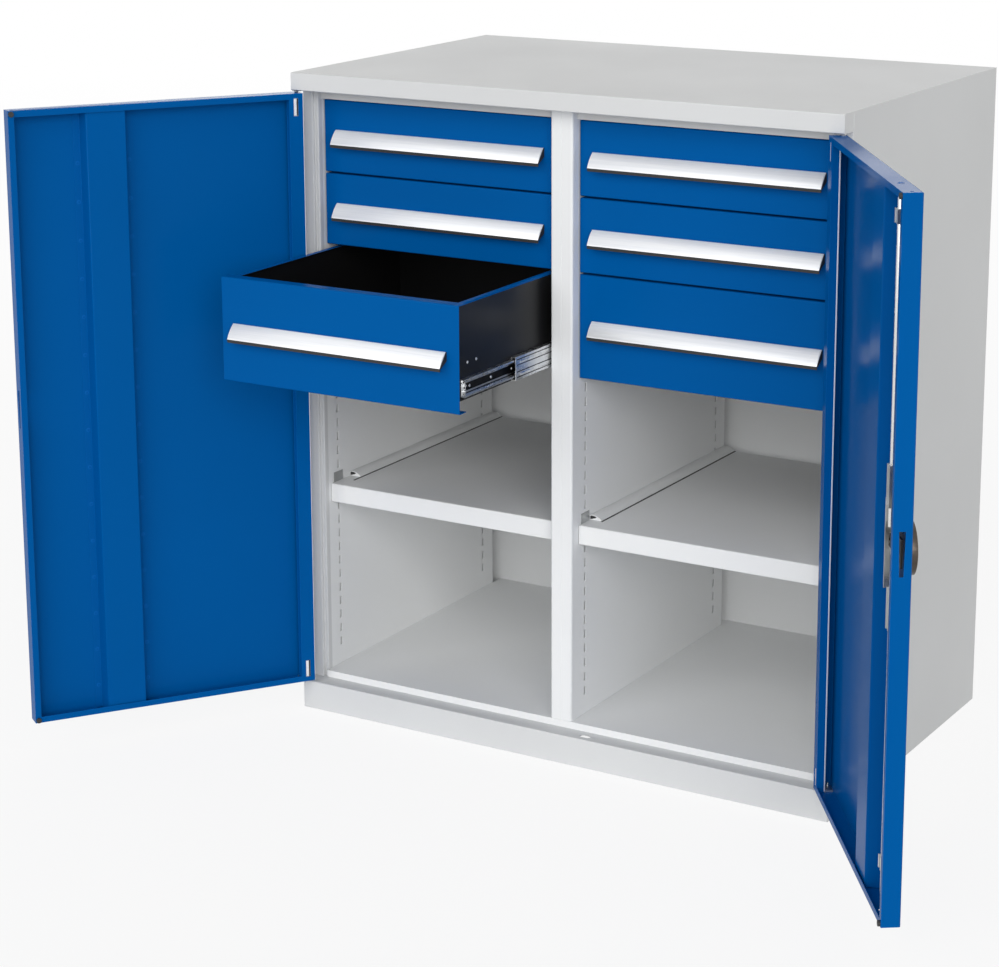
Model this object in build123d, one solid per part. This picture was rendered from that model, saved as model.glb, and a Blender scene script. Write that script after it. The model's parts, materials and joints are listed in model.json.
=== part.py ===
from build123d import *
import os

os.makedirs("parts", exist_ok=True)

# Sheet-steel storage cabinet: two folded doors with a rod lock, six drawers on telescopic runners,
# a centre partition and two shelves hung on clips in slotted liners.
# Millimetres, +X to the right, +Y to the back, +Z up. While drawing, y = 0 is the front face of
# the lid and x = 0 the middle of the case; save() moves the origin to the centre of the base.

# Case
CASE_W = 1000
CASE_D = 630
CASE_H = 1120
SHEET = 1.5
BEND = 1.5
HALF_W = CASE_W / 2
MID = SHEET / 2
FRAME_Y = 33
PLINTH_H = 50
LID_H = 30
LID_Z = CASE_H - LID_H
TOP_Z = CASE_H - SHEET
REAR_FLANGE = 15
REAR_DROP = 20
TOP_FLANGE = 15

# Corner posts and slotted liners
POST_FACE = 20
POST_STEP = 6
WALL = 27
POST_Y = 50
WALL_X = HALF_W - WALL
LINER_Z = CASE_H - 2 * SHEET
SLOT_FRONT = 79
SLOT_PITCH = 25
SLOT_Z = 103
SLOT_WIDTH = 5.5
SLOT_TALL = 14

# Base frame, floor and back
LEDGE_D = 35
FOOT = 30
WEB_LAP = 13
BACK_Y = CASE_D - 2 * SHEET
FLOOR_RISE = 12
FLOOR_Z = PLINTH_H + FLOOR_RISE
LINER_REAR = 29
LINER_Y = BACK_Y - LINER_REAR
SLOT_REAR = 37
SLOT_Y = (SLOT_FRONT, LINER_Y - SLOT_REAR)

# Centre partition and top rails
PART_W = 40
PART_HALF = PART_W / 2
PART_Y = 34
PART_REAR = 27
PART_DEPTH = BACK_Y - PART_REAR
PART_LIP = 12
PART_BEND = 3
SEAM = 0.8
RAIL_FLANGE = 12
TOP_RAIL_DROP = 18
TOP_RAIL_Z = LID_Z - TOP_RAIL_DROP

# Shelves and their clips
SHELF_SLOT = 12
SHELF_FOLD = 33
SHELF_FRONT = 56
SHELF_SHORT = 2
SHELF_REAR = LINER_Y - SHELF_SHORT
SHELF_GAP = 1
SHELF_RETURN = 15
REAR_FOLD = 22
CLIP_W = 4.6
CLIP_T = 0.8
CLIP_REACH = 15
CLIP_TAB = 2.5
CLIP_RISE = 5
CLIP_HOOK = 8
SHELF_TOP = SLOT_Z + SHELF_SLOT * SLOT_PITCH - CLIP_RISE

# Drawers: heights of the fronts from the top one down
FRONT_HEIGHTS = (122, 122, 172)
FRONT_TOP_GAP = 2
FRONT_SPACE = 3
FRONT_Y = 56
FRONT_GAP = 2
FRONT_HEM = 20
BAY_W = WALL_X - PART_HALF
BAY_X = (WALL_X + PART_HALF) / 2
FRONT_W = BAY_W - 2 * FRONT_GAP
BOX_SHEET = 1.2
BOX_RISE = 16
BOX_DROP = 2.5
BOX_REAR = 62
BOX_BACK = BACK_Y - BOX_REAR
BOX_RIM = 7
BOX_HOLE = 5
BOX_HOLES = (38, 64)
BOX_HOLE_RISE = 35

# Handle strip across the front
HANDLE_IN = 23
HANDLE_L = FRONT_W - 2 * HANDLE_IN
HANDLE_T = 2.5
HANDLE_HALF = 12
HANDLE_OUT = 20
HANDLE_FOOT = 14
HANDLE_BULGE = 2

# Telescopic runners: 0 is the wall, z is measured from the runner's middle
RUN_Y = 77
RUN_REAR = 50
RUN_L = BACK_Y - RUN_REAR - RUN_Y
RUN_LIFT = 36.5
RUN_W = 12.7
RUN_T = 1.2
RUN_LIP = 2
OUTER_HALF = 22.8
OUTER_REACH = 11
MIDDLE_HALF = 19.2
MIDDLE_X = 2.5
MIDDLE_REACH = 11.5
MIDDLE_LIP = 3.2
INNER_HALF = 14.4
INNER_REACH = 5
INNER_LIP = 1.7
OPEN_DRAWER = 300

# Doors, drawn closed
DOOR_T = 28
DOOR_SHEET = 1.2
DOOR_Y = 1
DOOR_SIDE = 1
DOOR_GAP = 3
DOOR_LOW_GAP = 4
DOOR_HIGH_GAP = 3
DOOR_BOTTOM = PLINTH_H + DOOR_LOW_GAP
DOOR_TOP = LID_Z - DOOR_HIGH_GAP
DOOR_X0 = DOOR_GAP / 2
DOOR_X1 = HALF_W - DOOR_SIDE
DOOR_BACK = DOOR_Y + DOOR_T
DOOR_LIP = 10
HINGE_LIP = 24
LIP_RETURN = 12
DOOR_EDGE_R = 2
STIFF_IN = 160.5
STIFF_X = DOOR_X0 + STIFF_IN
STIFF_BASE = 49.5
STIFF_TOP = 32.5
STIFF_FLANGE = 12
STIFF_H = 23
STIFF_END = 2
BUFFER_R = 4.5
BUFFER_H = 3.7
BUFFER_SIDES = 12
OPEN_ANGLE = 125

# Door hinges
PIVOT_IN = 5
PIVOT_X = HALF_W - PIVOT_IN
PIVOT_Y = 8
PIN_R = 2.5
PIN_FIT = 0.08
PIN_SEAT = 0.05
PIN_CLEAR = 0.2
PIN_COLLAR_R = 4
PIN_COLLAR_SIDES = 6
PIN_INSIDE = 10
PIN_REACH = 14
RUNNING = 0.3
PLATE_T = 3
PLATE_LEG = 42
WINDOW_W = 8.5
WINDOW_H = 30
WINDOW_IN = 12
WINDOW_END = 8

# Rod lock in the right door
LOCK_IN = 64.5
LOCK_X = DOOR_X0 + LOCK_IN
LOCK_ABOVE = 14.5
LOCK_Z = (DOOR_BOTTOM + DOOR_TOP) / 2 + LOCK_ABOVE
KNOB_R = 38.5
KNOB_H = 13.7
KNOB_SIDES = 24
KNOB_DISH = 4
KNOB_BAR = 20
KNOB_WALL = 5
SPINDLE_R = 7
BORE_GAP = 0.1
CYL_R = 9
CYL_FIT = 0.05
CYL_DEPTH = 10
CYL_PROUD = 0.8
KEY_W = 1.6
KEY_L = 9
KEY_D = 3
CAM_R = 17
CAM_SIDES = 8
CAM_T = 3
CAM_Y = 6
CAM_PIN_RADIUS = 13
CAM_PIN_R = 3
COS_45 = 0.70711
YOKE_GAP = 0.6
YOKE_T = 3
YOKE_WALL = 3
YOKE_PLAY = 1
ROD_R = 4
ROD_Y = 15
ROD_OFFSET = 9
ROD_FIT = 0.08
ROD_START = 27
ROD_HOLE_R = 5
ROD_INSET = 1
ROD_SLOT_L = 19
ROD_SLOT_W = 10
GUIDE_HALF = 8
GUIDE_DEPTH = 21
GUIDE_START = 55
GUIDE_L = 60
END_GUIDE_L = 20
END_GUIDE_TOP = 34
END_GUIDE_LOW = 63
LATCH_PIN_RADIUS = 8.5
LATCH_PIN_R = 2
LATCH_Y = 14
LATCH_T = 3
LATCH_PLAY = 0.9
LATCH_ARM_DROP = 1
LATCH_ARM_RISE = 17
LATCH_ARM = (LOCK_Z - LATCH_ARM_DROP, LOCK_Z + LATCH_ARM_RISE)
LATCH_HEAD_DROP = 10
LATCH_HEAD_RISE = 30
LATCH_HEAD = (LOCK_Z - LATCH_HEAD_DROP, LOCK_Z + LATCH_HEAD_RISE)
LATCH_HEAD_L = 38
LATCH_INSET = 0.4
KEYHOLE_DROP = 22
KEYHOLE_RISE = 42
KEYHOLE_Z = (LOCK_Z - KEYHOLE_DROP, LOCK_Z + KEYHOLE_RISE)
KEYHOLE_W = (6, 9.5)
EDGE_HOLE_IN = 9
EDGE_HOLE_R = 2.7
LOCK_CASE_W = 46
LOCK_CASE_H = 130
LOCK_WALL = 18


def block(x, y, z):
    """Box between two limits on each axis."""
    middle = Pos((x[0] + x[1]) / 2, (y[0] + y[1]) / 2, (z[0] + z[1]) / 2)
    return middle * Box(x[1] - x[0], y[1] - y[0], z[1] - z[0])


def fold_line(points, radius):
    """Middle line of a folded sheet; hidden folds are left sharp with radius 0."""
    return FilletPolyline(*points, radius=radius) if radius else Polyline(*points)


def folded_up(points, sheet, z0, z1, radius=BEND):
    """Folded sheet standing from z0 to z1; points are its middle line seen from above."""
    section = trace(fold_line(points, radius), sheet)
    return Pos(0, 0, z0) * extrude(section, amount=z1 - z0)


def folded_across(points, sheet, x0, x1, radius=BEND):
    """Folded sheet running from x0 to x1; points are its middle line in y and z."""
    section = Plane.YZ * trace(fold_line(points, radius), sheet)
    return Pos(x0, 0, 0) * extrude(section, amount=x1 - x0)


def upright(x, y, z0, z1, radius):
    """Round bar or drill along Z."""
    return Pos(x, y, (z0 + z1) / 2) * Cylinder(radius, z1 - z0)


def through_door(x, z, y0, y1, radius):
    """Round bar or drill along Y, the thickness of the closed door."""
    return Pos(x, (y0 + y1) / 2, z) * Rot(X=90) * Cylinder(radius, y1 - y0)


def other_side(shape):
    return mirror(shape, about=Plane.YZ)


def both_sides(shape):
    return [shape, other_side(shape)]


def save(node, *shapes):
    solids = []
    for shape in shapes:
        moved = Pos(0, -CASE_D / 2, 0) * shape
        solids.extend(moved.solids())
    whole = solids[0] if len(solids) == 1 else Compound(children=solids)
    export_step(whole, f"parts/{node}.step")


# Lid: fascia, closed underside of the overhang, top plate and rear drop in one folded sheet
def lid():
    line = [
        (FRAME_Y, LID_Z + MID),
        (MID, LID_Z + MID),
        (MID, CASE_H - MID),
        (CASE_D - MID, CASE_H - MID),
        (CASE_D - MID, CASE_H - REAR_DROP),
    ]
    sheet = folded_across(line, SHEET, -HALF_W, HALF_W)
    cap = block((HALF_W - SHEET, HALF_W), (MID, FRAME_Y), (LID_Z + MID, CASE_H - MID))
    sheet += both_sides(cap)
    beside = block((HALF_W - SHEET, HALF_W), (FRAME_Y, CASE_D), (LID_Z, CASE_H))
    corner = block(
        (HALF_W - REAR_FLANGE - RUNNING, HALF_W),
        (CASE_D - SHEET - BEND, CASE_D),
        (CASE_H - REAR_DROP, TOP_Z),
    )
    pin = upright(PIVOT_X, PIVOT_Y, LID_Z, LID_Z + SHEET, PIN_R + PIN_SEAT)
    slot = Pos(LOCK_X + ROD_OFFSET, ROD_Y, LID_Z) * extrude(
        SlotOverall(ROD_SLOT_L, ROD_SLOT_W), amount=SHEET
    )
    return sheet - both_sides(beside) - both_sides(corner) - both_sides(pin) - slot


# Side: skin, stepped corner post and rear flange in one folded sheet, drawn on the left
def left_side():
    left = -HALF_W
    line = [
        (left + REAR_FLANGE, CASE_D - MID),
        (left + MID, CASE_D - MID),
        (left + MID, FRAME_Y + MID),
        (left + POST_FACE - MID, FRAME_Y + MID),
        (left + POST_FACE - MID, FRAME_Y + POST_STEP + MID),
        (left + WALL - MID, FRAME_Y + POST_STEP + MID),
        (left + WALL - MID, POST_Y),
    ]
    panel = folded_up(line, SHEET, 0, CASE_H)
    inside = (left + SHEET, left + WALL)
    over = block(inside, (FRAME_Y, CASE_D), (TOP_Z, CASE_H))
    under = block(inside, (FRAME_Y, POST_Y), (0, PLINTH_H))
    flange = block(
        (left + SHEET, left + SHEET + TOP_FLANGE), (POST_Y, BACK_Y - BEND), (LINER_Z, TOP_Z)
    )
    return panel - over - under + flange


def drawer_levels():
    """Bottom edge and height of each front, numbered from the top down."""
    levels = {}
    top = TOP_RAIL_Z - FRONT_TOP_GAP
    for number, height in enumerate(FRONT_HEIGHTS, start=1):
        levels[str(number)] = (top - height, height)
        top -= height + FRONT_SPACE
    return levels


def wall_slots(x0, x1):
    """The slot columns of one wall between x0 and x1."""
    slots = []
    lowest = min(bottom for bottom, height in drawer_levels().values())
    count = int((lowest - SLOT_TALL - SLOT_Z) / SLOT_PITCH) + 1
    for y in SLOT_Y:
        for step in range(count):
            z = SLOT_Z + step * SLOT_PITCH
            slots.append(
                block(
                    (x0, x1),
                    (y - SLOT_WIDTH / 2, y + SLOT_WIDTH / 2),
                    (z - SLOT_TALL / 2, z + SLOT_TALL / 2),
                )
            )
    return slots


def left_liner():
    left = -HALF_W
    line = [
        (left + SHEET, LINER_Y - MID),
        (left + WALL - MID, LINER_Y - MID),
        (left + WALL - MID, POST_Y),
    ]
    panel = folded_up(line, SHEET, PLINTH_H, LINER_Z, 0)
    return panel - wall_slots(left + WALL - SHEET, left + WALL)


# Base frame: front channel with the door ledge, side rails and rear rail welded into a ring
def base_frame():
    inside = HALF_W - SHEET
    channel = block((-HALF_W, HALF_W), (0, FRAME_Y), (0, PLINTH_H))
    front_edges = channel.faces().sort_by(Axis.Y)[0].edges().filter_by(Axis.X)
    channel = fillet(front_edges, BEND)
    room = block((-inside, inside), (SHEET, FRAME_Y), (SHEET, PLINTH_H - SHEET))
    frame = channel - room
    rear_y = BACK_Y + SHEET
    seat_z = (PLINTH_H - SHEET, PLINTH_H)
    ledge = block((-inside, inside), (FRAME_Y, LEDGE_D), seat_z)
    rail_y = (FRAME_Y, rear_y)
    foot = block((inside - FOOT, inside), rail_y, (0, SHEET))
    web = block((inside - SHEET, inside), (FRAME_Y - WEB_LAP, rear_y), (0, PLINTH_H))
    seat = block((inside - FOOT, inside), rail_y, seat_z)
    rear_x = (-inside, inside)
    rear_foot = block(rear_x, (rear_y - FOOT, rear_y), (0, SHEET))
    rear_web = block(rear_x, (BACK_Y, rear_y), (0, PLINTH_H))
    rear_seat = block(rear_x, (rear_y - FOOT, rear_y), seat_z)
    frame += [ledge, rear_foot, rear_web, rear_seat]
    frame += both_sides(foot) + both_sides(web) + both_sides(seat)
    notch = block((inside - BEND, HALF_W), (BACK_Y + MID, CASE_D), (0, PLINTH_H))
    pin = upright(PIVOT_X, PIVOT_Y, PLINTH_H - SHEET, PLINTH_H, PIN_R + PIN_SEAT)
    slot = Pos(LOCK_X - ROD_OFFSET, ROD_Y, PLINTH_H - SHEET) * extrude(
        SlotOverall(ROD_SLOT_L, ROD_SLOT_W), amount=SHEET
    )
    return frame - both_sides(notch) - both_sides(pin) - slot


def floor():
    line = [
        (FRAME_Y + MID, PLINTH_H),
        (FRAME_Y + MID, FLOOR_Z - MID),
        (BACK_Y - MID, FLOOR_Z - MID),
        (BACK_Y - MID, PLINTH_H),
    ]
    return folded_across(line, SHEET, -WALL_X, WALL_X, 0)


def partition():
    inner = PART_HALF - MID
    line = [
        (-PART_HALF + PART_LIP, PART_DEPTH - MID),
        (-inner, PART_DEPTH - MID),
        (-inner, PART_Y + MID),
        (inner, PART_Y + MID),
        (inner, PART_DEPTH - MID),
        (PART_HALF - PART_LIP, PART_DEPTH - MID),
    ]
    post = folded_up(line, SHEET, FLOOR_Z, TOP_Z, PART_BEND)
    seam = block((-SEAM / 2, SEAM / 2), (PART_Y, PART_Y + SEAM), (FLOOR_Z, TOP_Z))
    slots = wall_slots(-PART_HALF, -PART_HALF + SHEET)
    slots += wall_slots(PART_HALF - SHEET, PART_HALF)
    return post - seam - slots


def left_top_rail():
    line = [
        (POST_Y + MID, TOP_Z),
        (POST_Y + MID, TOP_RAIL_Z + MID),
        (POST_Y + RAIL_FLANGE, TOP_RAIL_Z + MID),
    ]
    return folded_across(line, SHEET, -WALL_X, -PART_HALF, 0)


def left_shelf():
    low = SHELF_TOP - SHELF_FOLD
    line = [
        (SHELF_FRONT + SHELF_RETURN, low + MID),
        (SHELF_FRONT + MID, low + MID),
        (SHELF_FRONT + MID, SHELF_TOP - MID),
        (SHELF_REAR - MID, SHELF_TOP - MID),
        (SHELF_REAR - MID, SHELF_TOP - REAR_FOLD),
    ]
    return folded_across(line, SHEET, -WALL_X + SHELF_GAP, -PART_HALF - SHELF_GAP)


def shelf_clip(y):
    """Clip in a liner slot, drawn at the left wall: hook behind the sheet, tab under the shelf."""
    wall = -WALL_X
    width = (y - CLIP_W / 2, y + CLIP_W / 2)
    under = SHELF_TOP - SHEET
    top = SHELF_TOP + CLIP_RISE
    tab = block((wall, wall + CLIP_REACH), width, (under - CLIP_TAB, under))
    leg = block((wall, wall + CLIP_T), width, (under - CLIP_TAB, top))
    behind = wall - SHEET
    bridge = block((behind - CLIP_T, wall), width, (top - CLIP_TAB, top))
    hook = block((behind - CLIP_T, behind), width, (top - CLIP_TAB, top - CLIP_TAB + CLIP_HOOK))
    return tab + leg + bridge + hook


def clips():
    """Clips of both bays: each wall position and its mirror image about the middle of the bay."""
    left_wall = [shelf_clip(y) for y in SLOT_Y]
    bay_mirror = Plane.YZ.offset(-BAY_X)
    left_bay = left_wall + [mirror(clip, about=bay_mirror) for clip in left_wall]
    return left_bay + [other_side(clip) for clip in left_bay]


def channel(x_web, x_end, x_lip, half, lip):
    """Runner section: web, two flanges and two inward lips, swept along the runner."""
    x_low = min(x_web[0], x_end)
    x_high = max(x_web[1], x_end)
    shape = block(x_web, (RUN_Y, RUN_Y + RUN_L), (-half, half))
    flange = block((x_low, x_high), (RUN_Y, RUN_Y + RUN_L), (half - RUN_T, half))
    rim = block(x_lip, (RUN_Y, RUN_Y + RUN_L), (half - RUN_T - lip, half - RUN_T))
    for piece in (flange, rim):
        shape += [piece, mirror(piece, about=Plane.XY)]
    return shape


OUTER_RAIL = channel(
    (0, RUN_T), OUTER_REACH, (OUTER_REACH - RUN_T, OUTER_REACH), OUTER_HALF, RUN_LIP
)
MIDDLE_RAIL = channel(
    (MIDDLE_X, MIDDLE_X + RUN_T),
    MIDDLE_REACH,
    (MIDDLE_REACH - RUN_T, MIDDLE_REACH),
    MIDDLE_HALF,
    MIDDLE_LIP,
)
INNER_RAIL = channel(
    (RUN_W - RUN_T, RUN_W), INNER_REACH, (INNER_REACH, INNER_REACH + RUN_T), INNER_HALF, INNER_LIP
)


def rail_pair(rail, z, pulled=0):
    """One runner member on both walls of the left bay, pulled forward."""
    left = Pos(-WALL_X, -pulled, z) * rail
    return [left, mirror(left, about=Plane.YZ.offset(-BAY_X))]


def drawer_box(bottom, height):
    """Open box with inward rims, drawn in the left bay."""
    half = BAY_W / 2 - RUN_W
    y0 = FRONT_Y + SHEET
    z0 = bottom + BOX_RISE
    z1 = bottom + height - BOX_DROP
    x = (-BAY_X - half, -BAY_X + half)
    box = block(x, (y0, BOX_BACK), (z0, z1))
    room = block(
        (x[0] + BOX_SHEET, x[1] - BOX_SHEET),
        (y0 + BOX_SHEET, BOX_BACK - BOX_SHEET),
        (z0 + BOX_SHEET, z1 - BOX_SHEET),
    )
    mouth = block(
        (x[0] + BOX_RIM, x[1] - BOX_RIM), (y0 + BOX_RIM, BOX_BACK - BOX_RIM), (z0 + BOX_SHEET, z1)
    )
    holes = []
    for along in BOX_HOLES:
        y = y0 + along
        z = bottom + RUN_LIFT + BOX_HOLE_RISE
        holes.append(block(x, (y, y + BOX_HOLE), (z, z + BOX_HOLE)))
    return box - room - mouth - holes


def drawer_front(bottom, height):
    line = [
        (FRONT_Y + FRONT_HEM, bottom + height - MID),
        (FRONT_Y + MID, bottom + height - MID),
        (FRONT_Y + MID, bottom + MID),
        (FRONT_Y + FRONT_HEM, bottom + MID),
    ]
    return folded_across(line, SHEET, -BAY_X - FRONT_W / 2, -BAY_X + FRONT_W / 2)


def handle(bottom, height):
    """Sloping grip strip: a foot on the front, then a slightly domed blade out and down."""
    z = bottom + height / 2
    back = FRONT_Y - HANDLE_T / 2
    top = z + HANDLE_HALF - HANDLE_T / 2
    lip = FRONT_Y - HANDLE_OUT + HANDLE_T / 2
    foot = Line((back, top - HANDLE_FOOT), (back, top))
    blade = SagittaArc((lip, z - HANDLE_HALF), (back, top), HANDLE_BULGE)
    section = trace(foot, HANDLE_T) + trace(blade, HANDLE_T)
    strip = Pos(-BAY_X - HANDLE_L / 2, 0, 0) * extrude(Plane.YZ * section, amount=HANDLE_L)
    return strip - block((-HALF_W, HALF_W), (FRONT_Y, CASE_D), (bottom, bottom + height))


def door_panel(rods):
    """Right door as a folded pan, closed; rods says whether its ends are drilled for the rods."""
    pan = block((DOOR_X0, DOOR_X1), (DOOR_Y, DOOR_BACK), (DOOR_BOTTOM, DOOR_TOP))
    outer_edges = pan.faces().sort_by(Axis.Y)[0].edges()
    pan = fillet(outer_edges, DOOR_EDGE_R)
    s = DOOR_SHEET
    inside_z = (DOOR_BOTTOM + s, DOOR_TOP - s)
    room = block((DOOR_X0 + s, DOOR_X1 - s), (DOOR_Y + s, DOOR_BACK - s), inside_z)
    mouth = block(
        (DOOR_X0 + DOOR_LIP, DOOR_X1 - HINGE_LIP),
        (DOOR_BACK - s, DOOR_BACK),
        (DOOR_BOTTOM + DOOR_LIP, DOOR_TOP - DOOR_LIP),
    )
    pan = pan - room - mouth
    fold_x = DOOR_X1 - HINGE_LIP
    pan += block((fold_x, fold_x + s), (DOOR_BACK - LIP_RETURN, DOOR_BACK), inside_z)
    window_x = (DOOR_X1 - WINDOW_IN - WINDOW_W / 2, DOOR_X1 - WINDOW_IN + WINDOW_W / 2)
    low = DOOR_BOTTOM + WINDOW_END
    high = DOOR_TOP - WINDOW_END
    lip_y = (DOOR_BACK - s, DOOR_BACK)
    cuts = [
        block(window_x, lip_y, (low, low + WINDOW_H)),
        block(window_x, lip_y, (high - WINDOW_H, high)),
        upright(PIVOT_X, PIVOT_Y, DOOR_BOTTOM, DOOR_BOTTOM + s, PIN_R + PIN_CLEAR),
        upright(PIVOT_X, PIVOT_Y, DOOR_TOP - s, DOOR_TOP, PIN_R + PIN_CLEAR),
        upright(DOOR_X0 + EDGE_HOLE_IN, ROD_Y, DOOR_BOTTOM, DOOR_BOTTOM + s, EDGE_HOLE_R),
        upright(DOOR_X0 + EDGE_HOLE_IN, ROD_Y, DOOR_TOP - s, DOOR_TOP, EDGE_HOLE_R),
    ]
    middle = LATCH_Y + LATCH_T / 2
    keyhole = Plane.YZ * Polyline(
        (middle - KEYHOLE_W[0] / 2, KEYHOLE_Z[0]),
        (middle + KEYHOLE_W[0] / 2, KEYHOLE_Z[0]),
        (middle + KEYHOLE_W[1] / 2, KEYHOLE_Z[1]),
        (middle - KEYHOLE_W[1] / 2, KEYHOLE_Z[1]),
        close=True,
    )
    cuts.append(Pos(DOOR_X0, 0, 0) * extrude(make_face(keyhole), amount=s))
    if rods:
        top_x = LOCK_X + ROD_OFFSET
        low_x = LOCK_X - ROD_OFFSET
        cuts.append(upright(top_x, ROD_Y, DOOR_TOP - s, DOOR_TOP, ROD_HOLE_R))
        cuts.append(upright(low_x, ROD_Y, DOOR_BOTTOM, DOOR_BOTTOM + s, ROD_HOLE_R))
        cuts.append(through_door(LOCK_X, LOCK_Z, DOOR_Y, DOOR_Y + s, SPINDLE_R + BORE_GAP))
    return pan - cuts


def door_stiffener():
    """Hat section welded to the inside of the skin."""
    skin = DOOR_Y + DOOR_SHEET
    low = skin + DOOR_SHEET / 2
    high = skin + STIFF_H - DOOR_SHEET / 2
    foot = STIFF_BASE - STIFF_FLANGE
    line = [
        (STIFF_X - STIFF_BASE, low),
        (STIFF_X - foot, low),
        (STIFF_X - STIFF_TOP, high),
        (STIFF_X + STIFF_TOP, high),
        (STIFF_X + foot, low),
        (STIFF_X + STIFF_BASE, low),
    ]
    return folded_up(line, DOOR_SHEET, DOOR_BOTTOM + STIFF_END, DOOR_TOP - STIFF_END)


def hinge_plate(z0, z1, leg):
    """Plate bored for the pin, with a leg down the inside of the hinge lip."""
    x = (DOOR_X1 - HINGE_LIP + DOOR_SHEET, DOOR_X1 - DOOR_SHEET)
    y = (DOOR_Y + DOOR_SHEET + RUNNING, DOOR_BACK - DOOR_SHEET)
    flat = block(x, y, (z0, z1))
    down = block(x, (y[1] - PLATE_T, y[1]), leg)
    return flat + down - upright(PIVOT_X, PIVOT_Y, z0, z1, PIN_R + PIN_FIT)


def hinge_plates():
    low = DOOR_BOTTOM + DOOR_SHEET
    high = DOOR_TOP - DOOR_SHEET
    return [
        hinge_plate(low, low + PLATE_T, (low, low + PLATE_LEG)),
        hinge_plate(high - PLATE_T, high, (high - PLATE_LEG, high)),
    ]


def buffers():
    inset = DOOR_LIP / 2
    pads = []
    for z in (DOOR_BOTTOM + inset, DOOR_TOP - inset):
        pad = extrude(RegularPolygon(BUFFER_R, BUFFER_SIDES), amount=BUFFER_H)
        pads.append(Pos(DOOR_X0 + inset, DOOR_BACK, z) * Rot(X=-90) * pad)
    return pads


def hinge_pins():
    """Collared pins standing in the base ledge and hanging from the lid, right side."""
    nut = RegularPolygon(PIN_COLLAR_R, PIN_COLLAR_SIDES)
    low_collar = Pos(PIVOT_X, PIVOT_Y, PLINTH_H) * extrude(nut, amount=DOOR_LOW_GAP - RUNNING)
    low = upright(PIVOT_X, PIVOT_Y, PLINTH_H - PIN_INSIDE, PLINTH_H + PIN_REACH, PIN_R)
    high_collar = Pos(PIVOT_X, PIVOT_Y, DOOR_TOP + RUNNING) * extrude(
        nut, amount=DOOR_HIGH_GAP - RUNNING
    )
    high = upright(PIVOT_X, PIVOT_Y, LID_Z - PIN_REACH, LID_Z + PIN_INSIDE, PIN_R)
    return [low + low_collar, high + high_collar]


def rotary_handle():
    """Round knob with a grip bar between two sunk fields, its spindle, cam plate and cam pins."""
    back = DOOR_Y - RUNNING
    front = back - KNOB_H
    knob = through_door(LOCK_X, LOCK_Z, front, back, KNOB_R)
    field = Rot(X=90) * extrude(RegularPolygon(KNOB_R - KNOB_WALL, KNOB_SIDES), amount=-KNOB_DISH)
    bar = block(
        (-KNOB_R, KNOB_R), (-KNOB_DISH, KNOB_DISH), (-KNOB_BAR / 2, KNOB_BAR / 2)
    )
    knob -= Pos(LOCK_X, front, LOCK_Z) * (field - bar)
    knob -= through_door(LOCK_X, LOCK_Z, front, front + CYL_DEPTH, CYL_R + CYL_FIT)
    knob += through_door(LOCK_X, LOCK_Z, back, CAM_Y, SPINDLE_R)
    cam = Rot(X=90) * extrude(RegularPolygon(CAM_R, CAM_SIDES), amount=-CAM_T)
    knob += Pos(LOCK_X, CAM_Y, LOCK_Z) * cam
    cam_top = CAM_Y + CAM_T
    arm = CAM_PIN_RADIUS * COS_45
    pin_end = cam_top + YOKE_GAP + YOKE_T + YOKE_GAP
    knob += through_door(LOCK_X + arm, LOCK_Z - arm, cam_top, pin_end, CAM_PIN_R)
    knob += through_door(LOCK_X - arm, LOCK_Z + arm, cam_top, pin_end, CAM_PIN_R)
    reach = LATCH_PIN_RADIUS * COS_45
    latch_end = LATCH_Y + LATCH_T
    knob += through_door(LOCK_X + reach, LOCK_Z + reach, cam_top, latch_end, LATCH_PIN_R)
    return knob


def lock_cylinder():
    front = DOOR_Y - RUNNING - KNOB_H
    core = through_door(LOCK_X, LOCK_Z, front - CYL_PROUD, front + CYL_DEPTH, CYL_R)
    key = block(
        (LOCK_X - KEY_W / 2, LOCK_X + KEY_W / 2),
        (front - CYL_PROUD, front - CYL_PROUD + KEY_D),
        (LOCK_Z - KEY_L / 2, LOCK_Z + KEY_L / 2),
    )
    return core - key


def rod(side):
    """Lock rod with its yoke; side is 1 for the upper rod and -1 for the lower one."""
    arm = CAM_PIN_RADIUS * COS_45
    pin_z = LOCK_Z - side * arm
    half_z = CAM_PIN_R + YOKE_PLAY
    near = arm - CAM_PIN_R - YOKE_PLAY
    far = CAM_PIN_RADIUS + CAM_PIN_R + YOKE_PLAY
    y = (CAM_Y + CAM_T + YOKE_GAP, CAM_Y + CAM_T + YOKE_GAP + YOKE_T)
    plate_x = sorted((LOCK_X + side * (near - YOKE_WALL), LOCK_X + side * (far + YOKE_WALL)))
    slot_x = sorted((LOCK_X + side * near, LOCK_X + side * far))
    plate = block(plate_x, y, (pin_z - half_z - YOKE_WALL, pin_z + half_z + YOKE_WALL))
    slot = block(slot_x, y, (pin_z - half_z, pin_z + half_z))
    joint_z = LOCK_Z + side * (ROD_START + ROD_R)
    strip_x = sorted((LOCK_X + side * (far - YOKE_WALL), LOCK_X + side * (far + YOKE_WALL)))
    strip_z = sorted((pin_z + side * half_z, joint_z))
    strip = block(strip_x, y, strip_z)
    bridge_z = sorted((LOCK_Z + side * ROD_START, joint_z + side * ROD_R))
    rod_x = LOCK_X + side * ROD_OFFSET
    bridge_x = sorted((rod_x - side * ROD_R / 2, LOCK_X + side * (far + YOKE_WALL)))
    bridge = block(bridge_x, y, bridge_z)
    tip = DOOR_TOP - ROD_INSET if side > 0 else DOOR_BOTTOM + ROD_INSET
    bar_z = sorted((LOCK_Z + side * ROD_START, tip))
    bar = upright(rod_x, ROD_Y, bar_z[0], bar_z[1], ROD_R)
    return plate - slot + strip + bridge + bar


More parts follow.
